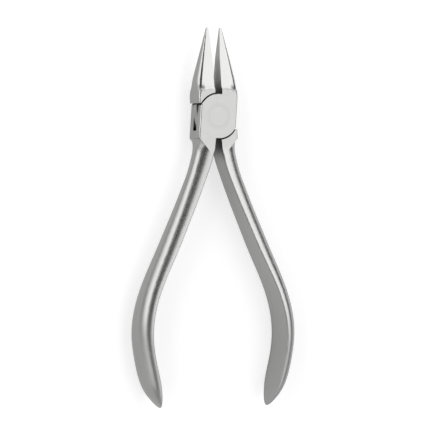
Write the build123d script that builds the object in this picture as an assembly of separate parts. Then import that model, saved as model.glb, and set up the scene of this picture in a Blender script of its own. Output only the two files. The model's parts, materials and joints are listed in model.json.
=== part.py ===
from build123d import *
import math
import os

# Pliers with a box joint, lying flat: pivot axis along Z, jaws towards +Y, handles towards -Y.
# Each half is drawn around the pivot and moved to the floor at the end. Millimetres and degrees.

# Opening at rest
rest_half_angle = 4.0

# Joint
joint_half_width = 7.0
joint_thickness = 7.6
cheek_radius = 7.65
shoulder_gap = 0.36
shoulder_end = 4.85
tongue_thickness = 2.2
tongue_radius = 7.55
tongue_side_play = 0.05
tongue_end_play = 0.6
joint_root_length = 7.9
joint_root_end = 11.9
joint_root_bevel = 46.0
slot_mouth = 5.5
tongue_relief_start = 1.9
tongue_relief_angle = 9.0
joint_edge_radius = 0.5
arc_edge_radius = 0.15

# Pivot rivet
rivet_radius = 1.8
rivet_head_radius = 3.6
rivet_running_fit = 0.03

# Jaws, drawn closed, with the meeting faces on the plane X = 0
jaw_length = 30.5
jaw_straight_length = 10.8
jaw_shoulder_radius = 9.0
jaw_tip_width = 0.87
jaw_tip_thickness = 0.5
jaw_tip_rounding = 0.12
jaw_face_start = 9.3
jaw_cove_length = 1.3
jaw_cove_depth = 0.7
jaw_rounding_share = 0.8
jaw_rounding_start = 6.5
jaw_rounding_end = 13.0
jaw_root_stations = 3
jaw_cove_stations = 4
jaw_shoulder_stations = 5
jaw_meeting_start = 20.5
jaw_root_relief = 0.8
jaw_face_clearance = 0.04

# Handle stations: distance below the pivot, inner face from the middle, depth outwards, width along Z
handle_length = 99.5
handle_edge_radius = 0.4
handle_stations = [
    (5.0, 1.05, 5.90, 26.0),
    (7.2, 1.12, 6.10, 19.5),
    (8.6, 1.22, 6.36, 12.6),
    (10.0, 1.36, 6.36, 9.30),
    (11.4, 1.52, 6.32, 8.10),
    (14.5, 2.15, 6.38, 7.5),
    (18.6, 3.50, 6.25, 7.2),
    (23.5, 5.50, 6.20, 7.5),
    (29.5, 8.10, 6.15, 8.0),
    (37.5, 11.8, 6.10, 8.7),
    (46.0, 15.8, 6.04, 9.4),
    (62.4, 23.5, 5.35, 10.8),
    (74.8, 25.8, 4.85, 11.7),
    (83.0, 24.9, 4.60, 12.0),
]
handle_ground_stations = 5
handle_nose_start = 86.0
handle_nose_taper_start = 90.0
handle_nose_steps = 5
handle_nose_inner_x = 20.7

# Values that follow from the sizes above
cheek_half_thickness = joint_thickness / 2
slot_half_thickness = tongue_thickness / 2 + tongue_side_play
shoulder_radius = cheek_radius + shoulder_gap
slot_radius = tongue_radius + tongue_end_play
far = 4 * handle_length

# The jaw's face slopes evenly from its cove to its tip
jaw_cove_end = jaw_face_start + jaw_cove_length
jaw_face_fall = cheek_half_thickness - jaw_cove_depth - jaw_tip_thickness / 2
jaw_face_slope = math.atan2(jaw_face_fall, jaw_length - jaw_cove_end)

# The jaw's outer side is the tangent from its tip to the shoulder's arc
tip_along = jaw_length - jaw_straight_length
tip_across = jaw_tip_width - (joint_half_width - jaw_shoulder_radius)
tip_bearing = math.atan2(tip_across, tip_along)
jaw_taper = math.asin(jaw_shoulder_radius / math.hypot(tip_along, tip_across)) - tip_bearing
jaw_blade_start = jaw_straight_length + jaw_shoulder_radius * math.sin(jaw_taper)

# Turns from where a half is drawn, closed, to where it lies at rest
box_side = Rot(0, 0, -rest_half_angle)
tongue_side = Rot(0, 0, rest_half_angle)


def handle_section(distance, inner, depth, width):
    """D-shaped face across the right handle: flat inside, half an ellipse outside, eased corners."""
    edge = min(handle_edge_radius, depth / 3, width / 6)
    half = width / 2
    with BuildSketch(Plane.XZ.offset(distance)) as section:
        with BuildLine():
            Line((inner, half - edge), (inner, -half + edge))
            CenterArc((inner + edge, -half + edge), edge, 180, 90)
            EllipticalCenterArc((inner + edge, 0), depth - edge, half, start_angle=-90, arc_size=180)
            CenterArc((inner + edge, half - edge), edge, 90, 90)
        make_face()
    return section.sketch.face()


def nose_stations():
    """Stations of the rounded handle end: elliptical seen from the side, parabolic seen from above."""
    _, last_inner, last_depth, last_width = handle_stations[-1]
    last_distance = handle_stations[-1][0]
    stations = []
    for step in range(handle_nose_steps):
        share = math.sin(math.pi / 2 * (step + 1.2) / (handle_nose_steps + 0.5))
        distance = handle_nose_start + (handle_length - handle_nose_start) * share
        along_taper = max(0, (distance - handle_nose_taper_start) / (handle_length - handle_nose_taper_start))
        along_inner = (distance - last_distance) / (handle_length - last_distance)
        inner = last_inner + (handle_nose_inner_x - last_inner) * along_inner
        depth = last_depth * (1 - along_taper**2)
        stations.append((distance, inner, depth, last_width * math.sqrt(1 - share**2)))
    return stations


def right_handle():
    """Lofted handle with the joint's flats ground on its root."""
    sections = [handle_section(*station) for station in handle_stations + nose_stations()]
    handle = loft(sections)
    grinding_end = handle_stations[handle_ground_stations][0]
    flats = Pos(0, -grinding_end / 2, 0) * Box(far, grinding_end, far)
    between_flats = Pos(0, -grinding_end / 2, 0) * Box(far, grinding_end, joint_thickness)
    return handle - (flats - between_flats)


def jaw_face_height(distance):
    """Half thickness of the jaw: the joint's flat, then a cove, then the face that slopes to the tip."""
    if distance <= jaw_face_start:
        return cheek_half_thickness
    if distance >= jaw_cove_end:
        return jaw_tip_thickness / 2 + (jaw_length - distance) * math.tan(jaw_face_slope)
    lift = jaw_cove_depth * math.cos(jaw_face_slope) - jaw_cove_length * math.sin(jaw_face_slope)
    cove_radius = (jaw_cove_length**2 + jaw_cove_depth**2) / (2 * lift)
    centre_y = jaw_cove_end + cove_radius * math.sin(jaw_face_slope)
    centre_height = cheek_half_thickness - jaw_cove_depth + cove_radius * math.cos(jaw_face_slope)
    return centre_height - math.sqrt(cove_radius**2 - (distance - centre_y) ** 2)


def jaw_outer_x(distance):
    """Outer side of the closed jaw: straight at the joint, then the shoulder's arc and a straight taper."""
    past_straight = distance - jaw_straight_length
    if past_straight <= 0:
        return joint_half_width
    if distance < jaw_blade_start:
        arc_x = math.sqrt(jaw_shoulder_radius**2 - past_straight**2)
        return joint_half_width - jaw_shoulder_radius + arc_x
    return jaw_tip_width + (jaw_length - distance) * math.tan(jaw_taper)


def jaw_edge_radius(distance):
    """Rounding of the long outer edges: the joint's own, then most of the jaw's half thickness."""
    share = min(1, max(0, (distance - jaw_rounding_start) / (jaw_rounding_end - jaw_rounding_start)))
    eased = share**2 * (3 - 2 * share)
    rounded = jaw_rounding_share * jaw_face_height(distance)
    return joint_edge_radius + eased * (rounded - joint_edge_radius)


def jaw_section(distance):
    """Face across the closed right jaw, from the middle plane to the outer side with its rounded edges."""
    outer = jaw_outer_x(distance)
    half = jaw_face_height(distance)
    edge = jaw_edge_radius(distance)
    with BuildSketch(Plane.XZ.offset(-distance)) as section:
        with BuildLine():
            Line((-joint_half_width, -half), (outer - edge, -half))
            CenterArc((outer - edge, edge - half), edge, 270, 90)
            Line((outer, edge - half), (outer, half - edge))
            CenterArc((outer - edge, half - edge), edge, 0, 90)
            Line((outer - edge, half), (-joint_half_width, half))
            Line((-joint_half_width, half), (-joint_half_width, -half))
        make_face()
    return section.sketch.face()


def jaw_span(start, end, count):
    """Loft of evenly spaced jaw sections between two distances from the pivot."""
    return loft([jaw_section(start + (end - start) * step / (count - 1)) for step in range(count)])


def jaw_inner_cutter():
    """What lies past the right jaw's inner face: flat where the jaws meet, relieved towards the joint."""
    with BuildSketch() as plan:
        Polygon(
            (-far, -far),
            (jaw_root_relief, -far),
            (jaw_root_relief, shoulder_radius),
            (jaw_face_clearance, jaw_meeting_start),
            (jaw_face_clearance, far),
            (-far, far),
            align=None,
        )
    return extrude(plan.sketch, amount=far, both=True)


def right_jaw():
    """Right jaw with the joint's flat bar above the pivot, closed."""
    jaw = jaw_span(0, jaw_rounding_start, 2)
    jaw += jaw_span(jaw_rounding_start, jaw_face_start, jaw_root_stations)
    jaw += jaw_span(jaw_face_start, jaw_cove_end, jaw_cove_stations)
    jaw += jaw_span(jaw_cove_end, jaw_blade_start, jaw_shoulder_stations)
    jaw += jaw_span(jaw_blade_start, jaw_length, 2)
    jaw -= jaw_inner_cutter()
    tip = jaw.faces().sort_by(Axis.Y)[-1]
    return fillet(tip.edges(), jaw_tip_rounding)


def joint_bar(low_x, high_x, low_y, high_y):
    """Piece of the joint's flat bar, between two sides and two ends, with its long outer edges rounded."""
    bar = Box(2 * joint_half_width, far, joint_thickness)
    bar = fillet(bar.edges().filter_by(Axis.Y), joint_edge_radius)
    middle = Pos((low_x + high_x) / 2, (low_y + high_y) / 2)
    return bar & middle * Box(high_x - low_x, high_y - low_y, joint_thickness)


def quadrant():
    """Block below and left of the origin, which cuts a slanted end or side when turned."""
    return Pos(-far / 2, -far / 2) * Box(far, far, far)


def right_jaw_left_handle():
    """One forging before the joint is cut: the right jaw, the joint's bar, and the left handle."""
    bevel = Pos(-joint_half_width, -joint_root_length) * Rot(0, 0, joint_root_bevel) * quadrant()
    handle_root = joint_bar(-joint_half_width, -handle_stations[0][1], -joint_root_end, 0) - bevel
    return box_side * (right_jaw() + handle_root) + mirror(right_handle(), about=Plane.YZ)


def cheeks():
    """Round ends of both cheeks, as one slab no wider than the joint's flat sides."""
    disc = Cylinder(cheek_radius, joint_thickness)
    disc = fillet(disc.edges().filter_by(GeomType.CIRCLE), arc_edge_radius)
    return box_side * (disc & joint_bar(-joint_half_width, joint_half_width, -cheek_radius, cheek_radius))


def shoulder_hollow():
    """What the shoulders are hollowed by on one side of the tongue, eased where it meets the flat face."""
    with BuildSketch(Plane.XZ) as half_section:
        Polygon(
            (0, tongue_thickness / 2),
            (shoulder_radius, tongue_thickness / 2),
            (shoulder_radius, cheek_half_thickness - arc_edge_radius),
            (shoulder_radius + arc_edge_radius, cheek_half_thickness),
            (shoulder_radius + arc_edge_radius, joint_thickness),
            (0, joint_thickness),
            align=None,
        )
    return revolve(half_section.sketch, Axis.Z)


def slot_cutter():
    """Slot between the cheeks: a round pocket for the tongue, with a straight mouth on each side."""
    width = 2 * slot_half_thickness
    pocket = Cylinder(slot_radius, width)
    mouth_inner_x = math.sqrt(slot_radius**2 - slot_mouth**2)
    mouth_width = far / 2 - mouth_inner_x
    right_mouth = Pos(mouth_inner_x + mouth_width / 2, slot_mouth / 2) * Box(mouth_width, slot_mouth, width)
    left_mouth = Rot(0, 0, 180) * right_mouth
    return box_side * (pocket + right_mouth + left_mouth)


def tongue():
    """Thin middle of the tongue half: round ends, sides flush when closed, and two corners relieved."""
    flat_sides = Box(2 * joint_half_width, far, tongue_thickness)
    plate = Cylinder(tongue_radius, tongue_thickness) & flat_sides
    relief = Pos(-joint_half_width, -tongue_relief_start) * Rot(0, 0, tongue_relief_angle) * quadrant()
    return tongue_side * (plate - relief - Rot(0, 0, 180) * relief)


def rivet():
    """Rivet with a countersunk head on each face, ground flush with the cheeks."""
    head_depth = rivet_head_radius - rivet_radius
    head_start = cheek_half_thickness - head_depth
    with BuildSketch(Plane.XZ) as half_section:
        Polygon(
            (0, -cheek_half_thickness),
            (rivet_head_radius, -cheek_half_thickness),
            (rivet_radius, -head_start),
            (rivet_radius, head_start),
            (rivet_head_radius, cheek_half_thickness),
            (0, cheek_half_thickness),
            align=None,
        )
    return revolve(half_section.sketch, Axis.Z)


def box_half():
    """Half with the two cheeks: its slot takes the tongue and its holes are filled by the rivet."""
    return right_jaw_left_handle() + cheeks() - slot_cutter() - rivet()


def tongue_half():
    """Half with the tongue: shoulders hollowed around the cheeks, and a running hole for the rivet."""
    blank = mirror(right_jaw_left_handle(), about=Plane.YZ)
    middle = Cylinder(shoulder_radius, tongue_thickness)
    between_shoulders = tongue_side * Box(far, 2 * shoulder_end, joint_thickness)
    hollows = shoulder_hollow() + mirror(shoulder_hollow(), about=Plane.XY)
    shoulders = blank - hollows - middle - between_shoulders
    hole = Cylinder(rivet_radius + rivet_running_fit, joint_thickness)
    return shoulders + (blank & middle) + tongue() - hole


def main():
    """Write each piece where it lies at rest: centred on the floor, with the pivot axis upright."""
    os.makedirs("parts", exist_ok=True)
    pieces = {"box_half": box_half(), "tongue_half": tongue_half(), "pivot_rivet": rivet()}
    around = Compound(list(pieces.values())).bounding_box()
    place = Pos(-around.center().X, -around.center().Y, -around.min.Z)
    print("pivot", place.position)
    for name, piece in pieces.items():
        export_step(place * piece, f"parts/{name}.step")


main()
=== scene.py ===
"""Looks of a pair of box-joint orthodontic pliers: steel finishes and painted light, studio and camera."""

import json
import logging
import math
from dataclasses import dataclass
from enum import Enum

import bpy
import numpy as np
from mathutils import Matrix, Vector

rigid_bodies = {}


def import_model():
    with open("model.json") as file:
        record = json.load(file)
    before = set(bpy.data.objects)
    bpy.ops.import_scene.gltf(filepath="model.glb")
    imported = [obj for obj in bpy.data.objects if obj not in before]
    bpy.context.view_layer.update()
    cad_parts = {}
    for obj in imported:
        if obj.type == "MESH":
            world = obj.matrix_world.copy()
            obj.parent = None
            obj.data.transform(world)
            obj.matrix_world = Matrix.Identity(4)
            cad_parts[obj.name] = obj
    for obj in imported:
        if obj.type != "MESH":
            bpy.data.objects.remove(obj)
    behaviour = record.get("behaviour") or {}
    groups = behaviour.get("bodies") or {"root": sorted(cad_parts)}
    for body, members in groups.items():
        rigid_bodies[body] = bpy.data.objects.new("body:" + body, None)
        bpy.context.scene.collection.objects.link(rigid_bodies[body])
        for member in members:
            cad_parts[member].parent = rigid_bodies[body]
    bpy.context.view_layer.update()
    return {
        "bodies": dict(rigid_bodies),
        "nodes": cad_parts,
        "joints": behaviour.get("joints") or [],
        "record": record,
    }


LOG = logging.getLogger("pliers")
MM = 0.001

Socket = bpy.types.NodeSocket
Feed = Socket | float
Triple = tuple[float, float, float]


class Channel(Enum):
    """Shader sockets that a finish writes to."""

    COLOUR = "Base Color"
    METALLIC = "Metallic"
    ROUGHNESS = "Roughness"
    GLOSS = "Specular IOR Level"
    NORMAL = "Normal"


class Sum(Enum):
    """Arithmetic that a finish uses on values over the surface."""

    ADD = "ADD"
    SUBTRACT = "SUBTRACT"
    MULTIPLY = "MULTIPLY"
    DIVIDE = "DIVIDE"
    ABSOLUTE = "ABSOLUTE"
    SQUARE_ROOT = "SQRT"
    EXPONENT = "EXPONENT"


@dataclass(frozen=True)
class Rise:
    """Smooth step from 0 where it starts to 1 where it ends."""

    start: float
    end: float


@dataclass(frozen=True)
class Bell:
    """Share that is 1 in its middle and fades over its width on both sides."""

    middle: float
    width: float


@dataclass(frozen=True)
class Mark:
    """Fine marks all over the steel.

    The size is that of one mark along X, Y and Z, and the detail is the number of finer layers. Shade and
    blur say how far the marks change brightness and roughness, and height is their share of the relief.
    """

    size: Triple
    detail: float
    shade: float = 0.0
    blur: float = 0.0
    height: float = 0.0


@dataclass(frozen=True)
class PhotoView:
    """Camera at the photograph's angle: above the pliers and turned about their long axis."""

    turn_degrees: float = 28.0
    distance: float = 1.23
    sensor: float = 36 * MM
    picture_width: float = 147.4 * MM
    below_pivot: float = 33.82 * MM
    right_of_axis: float = 0.47 * MM
    nearest: float = 10 * MM

    def build(self, pivot: Vector) -> bpy.types.Object:
        """Make the camera and make it the scene's.

        Args:
            pivot: centre of the pliers' joint.

        Returns:
            The camera object.
        """
        turn = math.radians(self.turn_degrees)
        right = Vector((math.cos(turn), 0, math.sin(turn)))
        up = Vector((0, 1, 0))
        back = Vector((-math.sin(turn), 0, math.cos(turn)))
        target = pivot - up * self.below_pivot + right * self.right_of_axis
        data = bpy.data.cameras.new("photo_camera")
        data.sensor_width = self.sensor / MM
        data.lens = self.sensor / MM * self.distance / self.picture_width
        data.clip_start = self.nearest
        camera = bpy.data.objects.new("photo_camera", data)
        turned = Matrix((right, up, back)).transposed().to_4x4()
        camera.matrix_world = Matrix.Translation(target + back * self.distance) @ turned
        bpy.context.scene.collection.objects.link(camera)
        bpy.context.scene.camera = camera
        return camera


@dataclass(frozen=True)
class SoftBox:
    """Rectangular soft light that faces the pliers.

    The angle turns it from straight above towards the right, and the lean tips it towards the jaws.
    """

    name: str
    angle_degrees: float
    lean_degrees: float
    width: float
    length: float
    distance: float
    radiance: float

    def build(self, centre: Vector) -> bpy.types.Object:
        """Hang the light around the centre, facing it.

        Args:
            centre: point that the light faces.

        Returns:
            The light object.
        """
        angle = math.radians(self.angle_degrees)
        lean = math.radians(self.lean_degrees)
        across = Vector((math.cos(angle), 0, -math.sin(angle)))
        level = Vector((math.sin(angle), 0, math.cos(angle)))
        outward = level * math.cos(lean) + Vector((0, math.sin(lean), 0))
        along = outward.cross(across)
        data = bpy.data.lights.new(self.name, "AREA")
        data.shape = "RECTANGLE"
        data.size = self.width
        data.size_y = self.length
        data.energy = self.radiance * math.pi * self.width * self.length
        light = bpy.data.objects.new(self.name, data)
        turned = Matrix((across, along, outward)).transposed().to_4x4()
        light.matrix_world = Matrix.Translation(centre + outward * self.distance) @ turned
        bpy.context.scene.collection.objects.link(light)
        return light


class Bench:
    """Short ways to lay out a material's nodes."""

    def __init__(self, name: str) -> None:
        """Start a material that uses nodes.

        Args:
            name: the material's name.
        """
        self.material = bpy.data.materials.new(name)
        self.material.use_nodes = True
        self.tree = self.material.node_tree
        self.shader = self.tree.nodes["Principled BSDF"]

    def channel(self, channel: Channel) -> Socket:
        """Input of the shader that the channel names."""
        return self.shader.inputs[channel.value]

    def node(self, kind: str, **settings: object) -> bpy.types.Node:
        """Add a node and set its properties.

        Args:
            kind: Blender's name of the node type.
            settings: properties of the node by name.

        Returns:
            The new node.
        """
        node = self.tree.nodes.new(kind)
        for name, setting in settings.items():
            setattr(node, name, setting)
        return node

    def feed(self, socket: Socket, source: Feed) -> None:
        """Link a value over the surface to a socket, or set a plain number on it.

        Args:
            socket: input to fill.
            source: output to link, or the number.
        """
        if isinstance(source, Socket):
            self.tree.links.new(source, socket)
        else:
            socket.default_value = source

    def sum(self, kind: Sum, first: Feed, second: Feed = 0.0, clamped: bool = False) -> Socket:
        """Work out one sum over the surface.

        Args:
            kind: which arithmetic.
            first: left value.
            second: right value, where the arithmetic has one.
            clamped: whether the result is kept between 0 and 1.

        Returns:
            The result.
        """
        node = self.node("ShaderNodeMath", operation=kind.value, use_clamp=clamped)
        self.feed(node.inputs[0], first)
        self.feed(node.inputs[1], second)
        return node.outputs[0]

    def product(self, first: Feed, *others: Feed) -> Feed:
        """Multiply values over the surface.

        Args:
            first: first value.
            others: values that it is multiplied by, one after the other.

        Returns:
            The product.
        """
        for other in others:
            first = self.sum(Sum.MULTIPLY, first, other)
        return first

    def rest(self, share: Feed) -> Socket:
        """What a share leaves of the whole: 1 - share."""
        return self.sum(Sum.SUBTRACT, 1.0, share)

    def rise(self, value: Feed, step: Rise) -> Socket:
        """Smooth step over the surface.

        Args:
            value: value over the surface.
            step: values at which the step starts and ends.

        Returns:
            Share from 0 to 1.
        """
        node = self.node("ShaderNodeMapRange", interpolation_type="SMOOTHSTEP")
        self.feed(node.inputs["Value"], value)
        node.inputs["From Min"].default_value = step.start
        node.inputs["From Max"].default_value = step.end
        return node.outputs["Result"]

    def band(self, value: Feed, bell: Bell) -> Socket:
        """Share that fades on both sides of the bell's middle: exp(-((value - middle) / width) ** 2)."""
        away = self.sum(Sum.DIVIDE, self.sum(Sum.SUBTRACT, value, bell.middle), bell.width)
        return self.sum(Sum.EXPONENT, self.product(away, away, -1.0))

    def blend(self, share: Feed, start: Feed, end: Feed) -> Socket:
        """Mix two values: start + share * (end - start).

        Args:
            share: 0 for the first value, 1 for the second.
            start: first value.
            end: second value.

        Returns:
            The mixed value.
        """
        node = self.node("ShaderNodeMix", data_type="FLOAT")
        self.feed(node.inputs[0], share)
        self.feed(node.inputs[2], start)
        self.feed(node.inputs[3], end)
        return node.outputs[0]

    def lowered(self, value: Feed, share: Feed, depth: float) -> Feed:
        """Value with a part taken off it where the share is 1: value * (1 - share * depth)."""
        return self.product(value, self.blend(share, 1.0, 1 - depth))

    def varied(self, value: Feed, noise: Feed, swing: float) -> Feed:
        """Value made uneven by noise from 0 to 1: value * (1 + swing * (noise - 1/2))."""
        return self.product(value, self.blend(noise, 1 - swing / 2, 1 + swing / 2))

    def noise(self, place: Feed, mark: Mark, turn_degrees: float = 0.0) -> Socket:
        """Noise whose blots have the size of a mark.

        Args:
            place: coordinates over the surface.
            mark: size and detail of the blots.
            turn_degrees: turn of the blots about Z.

        Returns:
            Noise from 0 to 1, mostly near 0.5.
        """
        mapping = self.node("ShaderNodeMapping", vector_type="TEXTURE")
        self.feed(mapping.inputs["Vector"], place)
        mapping.inputs["Rotation"].default_value = (0, 0, math.radians(turn_degrees))
        mapping.inputs["Scale"].default_value = mark.size
        noise = self.node("ShaderNodeTexNoise")
        self.feed(noise.inputs["Vector"], mapping.outputs["Vector"])
        noise.inputs["Scale"].default_value = 1.0
        noise.inputs["Detail"].default_value = mark.detail
        return noise.outputs["Fac"]

    def grey(self, value: Feed, tint: Triple) -> Socket:
        """Colour that is a tint times a value over the surface.

        Args:
            value: brightness over the surface.
            tint: colour at brightness 1.

        Returns:
            The colour.
        """
        node = self.node("ShaderNodeVectorMath", operation="SCALE")
        node.inputs[0].default_value = tint
        self.feed(node.inputs["Scale"], value)
        return node.outputs["Vector"]


@dataclass(frozen=True)
class Studio:
    """Plain pale floor, soft lights and a dim room around the pliers."""

    floor_half_size: float = 4.0
    floor_colour: Triple = (0.56, 0.56, 0.56)
    floor_roughness: float = 0.9
    floor_gloss: float = 0.1
    floor_glow: float = 0.64
    room_colour: Triple = (0.045, 0.045, 0.045)
    lights: tuple[SoftBox, ...] = (
        SoftBox("overhead_softbox", angle_degrees=32, lean_degrees=0,
                width=1.43, length=4.2, distance=1.25, radiance=1.07),
        SoftBox("left_softbox", angle_degrees=-64, lean_degrees=30,
                width=1.08, length=1.75, distance=1.45, radiance=2.4),
        SoftBox("head_softbox", angle_degrees=24, lean_degrees=76,
                width=1.5, length=0.8, distance=1.5, radiance=1.1),
        SoftBox("foot_softbox", angle_degrees=-64, lean_degrees=-28,
                width=1.1, length=1.15, distance=1.45, radiance=1.5),
        SoftBox("tail_softbox", angle_degrees=24, lean_degrees=-76,
                width=1.5, length=0.8, distance=1.5, radiance=0.7),
    )

    def build(self, centre: Vector) -> None:
        """Lay the floor, hang the lights and set the room's colour.

        Args:
            centre: point that the lights face.
        """
        self._floor()
        for light in self.lights:
            light.build(centre)
        world = bpy.data.worlds.new("room")
        world.use_nodes = True
        background = world.node_tree.nodes["Background"]
        background.inputs["Color"].default_value = (*self.room_colour, 1)
        background.inputs["Strength"].default_value = 1
        bpy.context.scene.world = world

    def _floor(self) -> bpy.types.Object:
        """Lay a flat square at the height that the pliers lie on.

        Returns:
            The floor object.
        """
        half = self.floor_half_size
        corners = np.array([(-half, -half, 0), (half, -half, 0), (half, half, 0), (-half, half, 0)])
        mesh = bpy.data.meshes.new("floor")
        mesh.from_pydata(corners.tolist(), [], [(0, 1, 2, 3)])
        floor = bpy.data.objects.new("floor", mesh)
        bpy.context.scene.collection.objects.link(floor)
        mesh.materials.append(self._floor_material())
        return floor

    def _floor_material(self) -> bpy.types.Material:
        """Matt grey that takes the shadow, with a glow that lifts it to white where it is seen.

        Returns:
            The material.
        """
        bench = Bench("pale_floor")
        bench.channel(Channel.COLOUR).default_value = (*self.floor_colour, 1)
        bench.channel(Channel.ROUGHNESS).default_value = self.floor_roughness
        bench.channel(Channel.GLOSS).default_value = self.floor_gloss
        rays = bench.node("ShaderNodeLightPath")
        seen = bench.sum(Sum.ADD, rays.outputs["Is Camera Ray"], rays.outputs["Is Glossy Ray"])
        seen = bench.sum(Sum.ADD, seen, rays.outputs["Is Transmission Ray"], clamped=True)
        glow = bench.node("ShaderNodeEmission")
        bench.feed(glow.inputs["Strength"], bench.product(seen, self.floor_glow))
        both = bench.node("ShaderNodeAddShader")
        bench.feed(both.inputs[0], bench.shader.outputs["BSDF"])
        bench.feed(both.inputs[1], glow.outputs["Emission"])
        bench.feed(bench.tree.nodes["Material Output"].inputs["Surface"], both.outputs["Shader"])
        return bench.material


@dataclass(frozen=True)
class PaintedShadeAndPolish:
    """How bright and how rough one zone of the steel is; its brightness is partly painted shade."""

    tone: float
    roughness: float


@dataclass(frozen=True)
class Spot:
    """Where a point of the surface is, measured from the pivot, and which way it faces.

    Level is 1 where the surface lies flat and 0 where it stands on edge. Sideways is 1 where it faces
    straight left or right.
    """

    place: Socket
    along: Socket
    across: Socket
    radius: Socket
    level: Socket
    sideways: Socket


@dataclass(frozen=True)
class Zones:
    """Places on the pliers with their own finish or painted light, as shares from 0 to 1.

    The shoulder is a line of painted shade along the handles' rounded flanks, the corners are the ends of
    the cove, painted dark as painted shade, the arris is the left edge of the joint, painted bright as a
    painted highlight, and the root is where the handles' inner sides meet it, painted dark as painted shade.
    """

    joint: Feed
    jaw: Feed
    palm: Feed
    rounded: Feed
    face: Feed
    shoulder: Feed
    cove: Feed
    corner: Feed
    arris: Feed
    root: Feed


@dataclass(frozen=True)
class Marks:
    """Working marks over the surface, as shares from 0 to 1."""

    grain: Feed
    cloud: Feed
    stroke: Feed
    scratch: Feed


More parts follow.
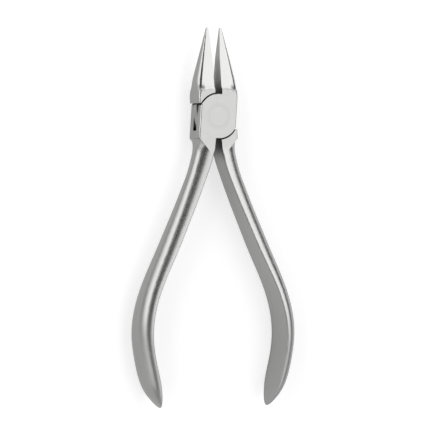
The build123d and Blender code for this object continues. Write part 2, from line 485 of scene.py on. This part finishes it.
@dataclass(frozen=True)
class Steel:
    """Stainless steel: satin ground, finer ground flat faces, painted shade and highlights, fine working
    marks.

    The crest is the top of the handle, the rim its rounded edge and the side all that stands on edge.
    The rim and the side are painted darker than the flat faces, as painted shade.
    Limits named along are places from the pivot towards the jaws, and those named across are distances to
    the side of it.
    """

    name: str
    pivot: Vector
    crest: PaintedShadeAndPolish
    palm_fade: float
    # Painted shade: the side's and the rim's tones paint steel that stands on edge darker than flat faces.
    side: PaintedShadeAndPolish = PaintedShadeAndPolish(tone=0.30, roughness=0.30)
    rim: PaintedShadeAndPolish = PaintedShadeAndPolish(tone=0.50, roughness=0.27)
    joint: PaintedShadeAndPolish = PaintedShadeAndPolish(tone=0.60, roughness=0.19)
    jaw: PaintedShadeAndPolish = PaintedShadeAndPolish(tone=0.765, roughness=0.13)
    tint: Triple = (1.0, 0.998, 0.99)

    joint_along: Rise = Rise(-13.5 * MM, -9.5 * MM)
    jaw_along: Rise = Rise(8.6 * MM, 10.6 * MM)
    round_level: Rise = Rise(0.58, 0.96)
    face_level: Rise = Rise(0.80, 0.985)

    palm_along: Rise = Rise(-85 * MM, -60 * MM)
    palm_blur: float = 1.4
    # Painted shade: a dark line along the handles' rounded flanks.
    shoulder_level: Bell = Bell(0.50, 0.12)
    shoulder_painted_shade: float = 0.30
    # Painted shade where the handles' inner sides meet the joint.
    root_along: Rise = Rise(-17 * MM, -9 * MM)
    root_across: Rise = Rise(3.5 * MM, 5.5 * MM)
    root_painted_shade: float = 0.72

    # Painted highlight across the cove between the jaws and the joint.
    cove_along: Bell = Bell(9.7 * MM, 1.2 * MM)
    cove_sideways: Rise = Rise(0.15, 0.50)
    cove_painted_highlight: float = 0.95
    # Painted shade at the outer ends of the cove.
    corner_along: Bell = Bell(9.8 * MM, 0.9 * MM)
    corner_across: Rise = Rise(4.6 * MM, 5.8 * MM)
    corner_level: Rise = Rise(0.55, 0.75)
    corner_painted_shade: float = 0.70

    # Painted highlight on the left edge of the joint.
    arris_along: Rise = Rise(-7.2 * MM, -4.7 * MM)
    arris_end: Rise = Rise(6.2 * MM, 7.8 * MM)
    arris_across: Rise = Rise(6.0 * MM, 6.4 * MM)
    arris_level: Rise = Rise(0.30, 0.55)
    arris_painted_highlight: float = 0.62

    ring_radius: Bell = Bell(4.05 * MM, 0.85 * MM)
    ring_shade: float = 0.035
    seam_radius: Bell = Bell(3.6 * MM, 0.05 * MM)
    seam_shade: float = 0.12

    grain: Mark = Mark((0.16 * MM, 0.30 * MM, 0.16 * MM), detail=3, shade=0.10, height=1.0)
    cloud: Mark = Mark((2.4 * MM, 4.5 * MM, 2.4 * MM), detail=2, shade=0.06, blur=0.12)
    stroke: Mark = Mark((0.07 * MM, 2.6 * MM, 0.07 * MM), detail=1, blur=0.16, height=0.12)
    scratch: Mark = Mark((0.05 * MM, 5.0 * MM, 0.05 * MM), detail=0, blur=0.08, height=0.3)
    scratch_turns: tuple[float, ...] = (24.0, -37.0, 71.0)
    scratch_noise: Rise = Rise(0.70, 0.76)
    joint_grain: float = 0.14
    jaw_grain: float = 0.10
    relief_depth: float = 0.004 * MM

    # Painted shade in hollows, found by ambient occlusion.
    hollow_reach: float = 5 * MM
    hollow_samples: int = 6
    hollow_openness: Rise = Rise(0.27, 0.56)
    hollow_painted_shade: float = 0.93

    def build(self) -> bpy.types.Material:
        """Make the node material.

        Returns:
            The material.
        """
        bench = Bench(self.name)
        spot = self._spot(bench)
        zones = self._zones(bench, spot)
        marks = self._marks(bench, spot)
        tone = self._tone(bench, spot, zones, marks)
        bench.channel(Channel.METALLIC).default_value = 1
        bench.feed(bench.channel(Channel.COLOUR), bench.grey(tone, self.tint))
        bench.feed(bench.channel(Channel.ROUGHNESS), self._roughness(bench, zones, marks))
        bench.feed(bench.channel(Channel.NORMAL), self._relief(bench, zones, marks))
        return bench.material

    def _spot(self, bench: Bench) -> Spot:
        """Measure the surface from the pivot: radius = sqrt(across ** 2 + along ** 2).

        Args:
            bench: where the nodes are laid out.

        Returns:
            The measures over the surface.
        """
        texture = bench.node("ShaderNodeTexCoord")
        parts = bench.node("ShaderNodeSeparateXYZ")
        bench.feed(parts.inputs[0], texture.outputs["Object"])
        facing = bench.node("ShaderNodeSeparateXYZ")
        bench.feed(facing.inputs[0], texture.outputs["Normal"])
        across = bench.sum(Sum.SUBTRACT, parts.outputs["X"], self.pivot.x)
        along = bench.sum(Sum.SUBTRACT, parts.outputs["Y"], self.pivot.y)
        squares = bench.sum(Sum.ADD, bench.product(across, across), bench.product(along, along))
        return Spot(
            place=texture.outputs["Object"],
            along=along,
            across=across,
            radius=bench.sum(Sum.SQUARE_ROOT, squares),
            level=bench.sum(Sum.ABSOLUTE, facing.outputs["Z"]),
            sideways=bench.sum(Sum.ABSOLUTE, facing.outputs["X"]),
        )

    def _zones(self, bench: Bench, spot: Spot) -> Zones:
        """Mark out the zones, each as the product of the shares that bound it.

        Args:
            bench: where the nodes are laid out.
            spot: measures over the surface.

        Returns:
            The zones over the surface.
        """
        joint = bench.rise(spot.along, self.joint_along)
        jaw = bench.rise(spot.along, self.jaw_along)
        palm = bench.rest(bench.rise(spot.along, self.palm_along))
        rounded = bench.rise(spot.level, self.round_level)
        face = bench.rise(spot.level, self.face_level)
        outward = bench.sum(Sum.ABSOLUTE, spot.across)
        leftward = bench.product(spot.across, -1.0)
        return Zones(
            joint=joint,
            jaw=jaw,
            palm=palm,
            rounded=rounded,
            face=face,
            shoulder=bench.product(bench.band(spot.level, self.shoulder_level), bench.rest(joint),
                                   bench.rest(palm)),
            cove=bench.product(bench.band(spot.along, self.cove_along), bench.rest(face),
                               bench.rest(bench.rise(spot.sideways, self.cove_sideways))),
            corner=bench.product(bench.band(spot.along, self.corner_along),
                                 bench.rise(outward, self.corner_across),
                                 bench.rise(spot.level, self.corner_level)),
            arris=bench.product(bench.rise(spot.along, self.arris_along),
                                bench.rise(leftward, self.arris_across),
                                bench.rise(spot.level, self.arris_level), bench.rest(face),
                                bench.rest(bench.rise(spot.along, self.arris_end))),
            root=bench.product(bench.rise(spot.along, self.root_along), bench.rest(jaw), bench.rest(rounded),
                               bench.rest(bench.rise(outward, self.root_across))),
        )

    def _marks(self, bench: Bench, spot: Spot) -> Marks:
        """Lay the working marks over the surface, with scratches in several directions.

        Args:
            bench: where the nodes are laid out.
            spot: measures over the surface.

        Returns:
            The marks over the surface.
        """
        scratch: Feed = 0.0
        for turn in self.scratch_turns:
            lines = bench.rise(bench.noise(spot.place, self.scratch, turn), self.scratch_noise)
            scratch = bench.sum(Sum.ADD, scratch, lines, clamped=True)
        return Marks(
            grain=bench.noise(spot.place, self.grain),
            cloud=bench.noise(spot.place, self.cloud),
            stroke=bench.noise(spot.place, self.stroke),
            scratch=scratch,
        )

    def _tone(self, bench: Bench, spot: Spot, zones: Zones, marks: Marks) -> Feed:
        """Steel's brightness: each zone's own, rivet rings, painted shade, marks and painted shade in
        hollows.

        Args:
            bench: where the nodes are laid out.
            spot: measures over the surface.
            zones: zones over the surface.
            marks: working marks over the surface.

        Returns:
            The brightness over the surface.
        """
        flat = bench.lowered(self.crest.tone, zones.palm, self.palm_fade)
        flat = bench.blend(zones.joint, flat, self.joint.tone)
        flat = bench.blend(zones.jaw, flat, self.jaw.tone)
        # Painted shade by facing: side tone where the steel stands on edge, rim tone on rounded edges, flat
        # tone on faces.
        tone = bench.blend(zones.face, bench.blend(zones.rounded, self.side.tone, self.rim.tone), flat)
        # Painted highlight across the cove.
        tone = bench.blend(zones.cove, tone, self.cove_painted_highlight)
        # Painted highlight on the left edge of the joint.
        tone = bench.blend(zones.arris, tone, self.arris_painted_highlight)
        ring = bench.product(bench.band(spot.radius, self.ring_radius), self.ring_shade)
        seam = bench.product(bench.band(spot.radius, self.seam_radius), self.seam_shade)
        tone = bench.product(tone, bench.rest(bench.product(bench.sum(Sum.ADD, ring, seam), zones.face)))
        # Painted shade in the cove's corners, at the handles' roots beside the joint and along their flanks.
        for zone, shade in ((zones.corner, self.corner_painted_shade), (zones.root, self.root_painted_shade),
                            (zones.shoulder, self.shoulder_painted_shade)):
            tone = bench.lowered(tone, zone, shade)
        for noise, mark in ((marks.grain, self.grain), (marks.cloud, self.cloud)):
            tone = bench.varied(tone, noise, mark.shade)
        # Painted shade: darker where ambient occlusion finds nearby surfaces.
        occlusion = bench.node("ShaderNodeAmbientOcclusion", samples=self.hollow_samples)
        occlusion.inputs["Distance"].default_value = self.hollow_reach
        openness = bench.rise(occlusion.outputs["AO"], self.hollow_openness)
        return bench.lowered(tone, bench.rest(openness), self.hollow_painted_shade)

    def _roughness(self, bench: Bench, zones: Zones, marks: Marks) -> Feed:
        """Roughness of the steel: each zone's own, made uneven by clouds, strokes and scratches.

        Args:
            bench: where the nodes are laid out.
            zones: zones over the surface.
            marks: working marks over the surface.

        Returns:
            The roughness over the surface.
        """
        flat = bench.blend(zones.joint, self.crest.roughness, self.joint.roughness)
        flat = bench.blend(zones.jaw, flat, self.jaw.roughness)
        edge = bench.blend(zones.jaw, self.rim.roughness, self.joint.roughness)
        rough = bench.blend(zones.face, bench.blend(zones.rounded, self.side.roughness, edge), flat)
        rough = bench.product(rough, bench.blend(zones.palm, 1.0, self.palm_blur))
        for noise, mark in ((marks.cloud, self.cloud), (marks.stroke, self.stroke)):
            rough = bench.varied(rough, noise, mark.blur)
        return bench.sum(Sum.ADD, rough, bench.product(marks.scratch, self.scratch.blur))

    def _relief(self, bench: Bench, zones: Zones, marks: Marks) -> Socket:
        """Surface normal with the grain on the satin, and shallow strokes and scratches all over.

        Args:
            bench: where the nodes are laid out.
            zones: zones over the surface.
            marks: working marks over the surface.

        Returns:
            The normal over the surface.
        """
        blasted = bench.blend(zones.joint, self.grain.height, self.joint_grain)
        blasted = bench.blend(zones.jaw, blasted, self.jaw_grain)
        height = bench.product(marks.grain, blasted)
        height = bench.sum(Sum.ADD, height, bench.product(marks.stroke, self.stroke.height))
        height = bench.sum(Sum.SUBTRACT, height, bench.product(marks.scratch, self.scratch.height))
        bump = bench.node("ShaderNodeBump")
        bump.inputs["Distance"].default_value = self.relief_depth
        bench.feed(bump.inputs["Height"], height)
        return bump.outputs["Normal"]


@dataclass(frozen=True)
class PackedPiece:
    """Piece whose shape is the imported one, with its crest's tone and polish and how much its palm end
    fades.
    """

    node: str
    crest: PaintedShadeAndPolish = PaintedShadeAndPolish(tone=0.64, roughness=0.27)
    palm_fade: float = 0.12

    def dress(self, frame: dict, pivot: Vector) -> bpy.types.Object:
        """Put the piece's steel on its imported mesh.

        Args:
            frame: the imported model.
            pivot: centre of the pliers' joint.

        Returns:
            The dressed object.
        """
        piece = frame["nodes"][self.node]
        steel = Steel(f"{self.node}_steel", pivot, crest=self.crest, palm_fade=self.palm_fade)
        piece.data.materials[0] = steel.build()
        return piece


PIECES = (
    PackedPiece("box_half"),
    # Painted highlight: the tongue half is the same steel, its crest painted brighter for the brighter
    # reflection on its handle.
    PackedPiece("tongue_half", crest=PaintedShadeAndPolish(tone=0.75, roughness=0.27), palm_fade=0.35),
    PackedPiece("pivot_rivet"),
)


def main() -> None:
    """Build the pliers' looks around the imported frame."""
    logging.basicConfig(level=logging.INFO)
    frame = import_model()
    pivot = Vector(frame["joints"][0]["pos_m"])
    PhotoView().build(pivot)
    Studio().build(Vector((0, pivot.y, pivot.z)))
    for piece in PIECES:
        LOG.info("dressed %s", piece.dress(frame, pivot).name)
    bpy.context.scene.view_settings.view_transform = "Standard"


if __name__ == "__main__":
    main()
